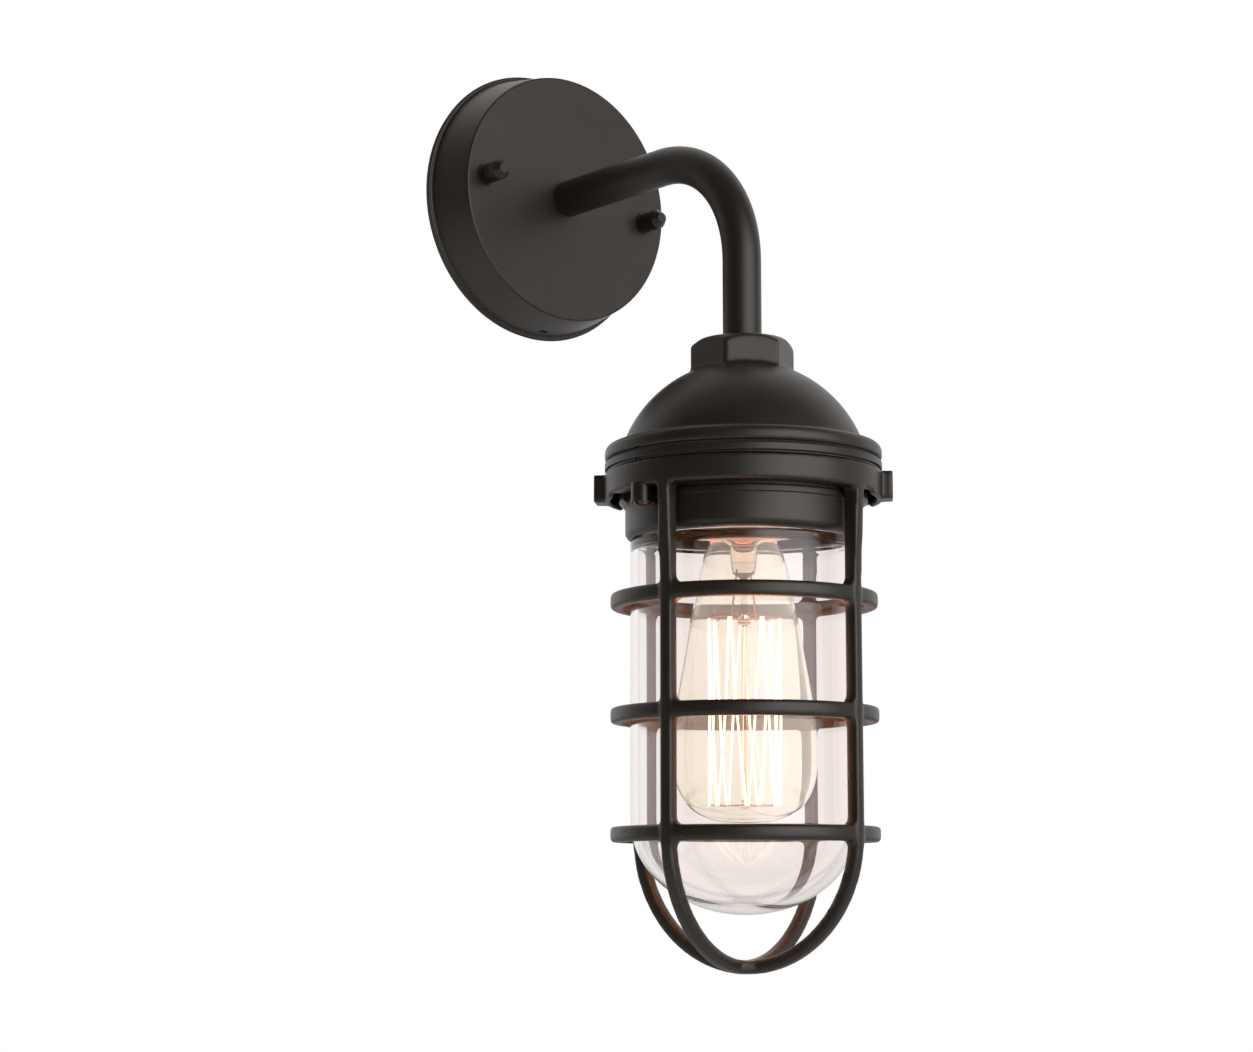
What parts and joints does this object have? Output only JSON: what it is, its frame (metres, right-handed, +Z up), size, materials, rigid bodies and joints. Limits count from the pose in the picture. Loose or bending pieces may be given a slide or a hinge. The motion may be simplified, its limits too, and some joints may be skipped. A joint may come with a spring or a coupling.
{
  "type": "cage wall light",
  "caption": "Wall light with a round wall plate, a bent tube arm and a domed lamp head that holds a clear glass jar in a cast cage guard.",
  "frame": {"origin": "middle of the wall side of the mounting strap, on the wall, where the arm's axis meets the wall", "axes": "+Y into the wall, -Y out along the arm, +Z up; the lamp's axis is vertical 140 mm in front of the wall"},
  "size_m": [0.1206, 0.1958, 0.3973],
  "materials": {
    "bronze_powder": "satin powder coat, dark bronze-black",
    "bronze_screw": "satin, dark bronze-black, slightly smoother",
    "zinc_steel": "zinc plated",
    "brass": "turned, slightly dull",
    "tinned": "tinned",
    "ground_green": "green dipped screw",
    "gasket": "matt foam rubber",
    "seal": "matt silicone",
    "porcelain": "glazed white porcelain",
    "clear_glass": "clear, smooth, thick wall",
    "bulb_glass": "clear, thin wall",
    "stem_glass": "clear, with a milky press",
    "bulb_insulator": "dark vitreous",
    "support_wire": "oxidised wire",
    "filament": "glowing warm white",
    "lead_black": "soft insulation",
    "lead_white": "soft insulation",
    "lead_green": "soft insulation",
    "wire_nut": "moulded, orange"
  },
  "bodies": {
    "fixture": {"wall_gasket": "gasket", "wall_plate": "bronze_powder", "box_strap": "zinc_steel", "stud_strap": "zinc_steel", "strap_eyelet": "zinc_steel", "mounting_studs": "zinc_steel", "stud_nuts": "zinc_steel", "nut_washers": "bronze_screw", "ground_screw": "ground_green", "ground_terminals": "tinned", "ground_wire": "lead_green", "wire_nuts": "wire_nut", "arm_tube": "bronze_powder", "arm_bushings": "zinc_steel", "arm_nipple": "brass", "arm_lock_washer": "zinc_steel", "arm_lock_nut": "brass", "dome": "bronze_powder", "head_nipple": "brass", "head_lock_washer": "zinc_steel", "head_lock_nut": "brass", "lamp_lead_black": "lead_black", "lamp_lead_white": "lead_white", "dome_gasket": "gasket", "glass_fitter": "bronze_powder", "fitter_screws": "zinc_steel", "glass_gasket": "seal", "socket_bracket": "zinc_steel", "socket_screws": "zinc_steel", "socket_body": "porcelain", "socket_shell": "brass", "socket_contact": "brass"},
    "cage": {"cage_guard": "bronze_powder"},
    "left_cage_screw": {"cage_screw_left": "bronze_screw"},
    "right_cage_screw": {"cage_screw_right": "bronze_screw"},
    "jar": {"glass_jar": "clear_glass"},
    "bulb": {"bulb_base": "brass", "bulb_insulator": "bulb_insulator", "bulb_contact": "tinned", "bulb_glass": "bulb_glass", "bulb_stem": "stem_glass", "bulb_supports": "support_wire", "bulb_filament": "filament"},
    "left_cap_nut": {"cap_nut_left": "bronze_screw"},
    "right_cap_nut": {"cap_nut_right": "bronze_screw"}
  },
  "joints": [
    {"name": "cage_drop", "type": "slide", "parent": "fixture", "child": "cage", "axis": [0, 0, -1], "range_m": [0, 0.18]},
    {"name": "left_cage_screw_turn", "type": "hinge", "parent": "cage", "child": "left_cage_screw", "pos_m": [-0.05265, -0.14, -0.15], "axis": [0, 0, 1], "continuous": true},
    {"name": "right_cage_screw_turn", "type": "hinge", "parent": "cage", "child": "right_cage_screw", "pos_m": [0.05265, -0.14, -0.15], "axis": [0, 0, 1], "continuous": true},
    {"name": "jar_turn", "type": "hinge", "parent": "fixture", "child": "jar", "pos_m": [0, -0.14, -0.2], "axis": [0, 0, 1], "continuous": true},
    {"name": "bulb_turn", "type": "hinge", "parent": "fixture", "child": "bulb", "pos_m": [0, -0.14, -0.2], "axis": [0, 0, 1], "continuous": true},
    {"name": "left_cap_nut_turn", "type": "hinge", "parent": "fixture", "child": "left_cap_nut", "pos_m": [-0.0443, -0.03, 0.00367], "axis": [0, -1, 0], "continuous": true},
    {"name": "right_cap_nut_turn", "type": "hinge", "parent": "fixture", "child": "right_cap_nut", "pos_m": [0.0443, -0.03, -0.00367], "axis": [0, -1, 0], "continuous": true}
  ]
}
